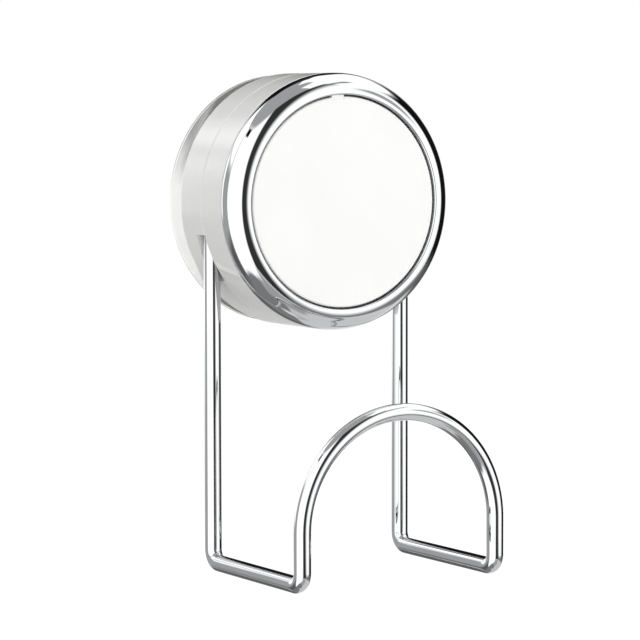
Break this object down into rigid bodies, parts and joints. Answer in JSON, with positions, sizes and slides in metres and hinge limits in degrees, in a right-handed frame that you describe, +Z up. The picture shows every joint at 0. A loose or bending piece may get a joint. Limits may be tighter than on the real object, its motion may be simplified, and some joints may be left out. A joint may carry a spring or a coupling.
{
  "type": "suction cup hook",
  "caption": "Round twist-lock suction cup in a white housing with a chromed ring, carrying a bent wire hook whose two arms run forward and up into an arch.",
  "frame": {"origin": "centre of the suction cup's rim, on the face of the wall that it holds to", "axes": "+X to the right as seen from the front, +Y into the wall along the cup's axis, +Z up"},
  "size_m": [0.0612, 0.0582, 0.1187],
  "materials": {
    "white_abs": "white ABS from a polished mould, gloss",
    "soft_pvc": "soft milky PVC, smooth and half clear",
    "chromed_abs": "bright chrome plate on moulded ABS",
    "chromed_wire": "bright chrome plate on drawn steel wire",
    "plated_steel": "zinc plated steel",
    "white_acetal": "natural acetal, satin"
  },
  "bodies": {
    "housing": {"suction_cup": "soft_pvc", "rear_housing": "white_abs", "front_housing": "white_abs", "housing_screws": "plated_steel", "wire_hook": "chromed_wire", "thrust_washer": "white_acetal"},
    "knob": {"drive_nut": "white_acetal", "knob_shell": "chromed_abs", "knob_screws": "plated_steel", "face_disc": "white_abs"},
    "stud": {"cup_stud": "plated_steel"}
  },
  "joints": [
    {"name": "knob_turn", "type": "hinge", "parent": "housing", "child": "knob", "pos_m": [0, 0, 0], "axis": [0, 1, 0], "range_deg": [0, 270]},
    {"name": "stud_draw", "type": "slide", "parent": "housing", "child": "stud", "axis": [0, -1, 0], "range_m": [0, 0.003], "deforming": ["suction_cup"]}
  ],
  "couplings": [
    {"joint": "stud_draw", "follows": "knob_turn", "m_per_rad": 0.0006366}
  ]
}
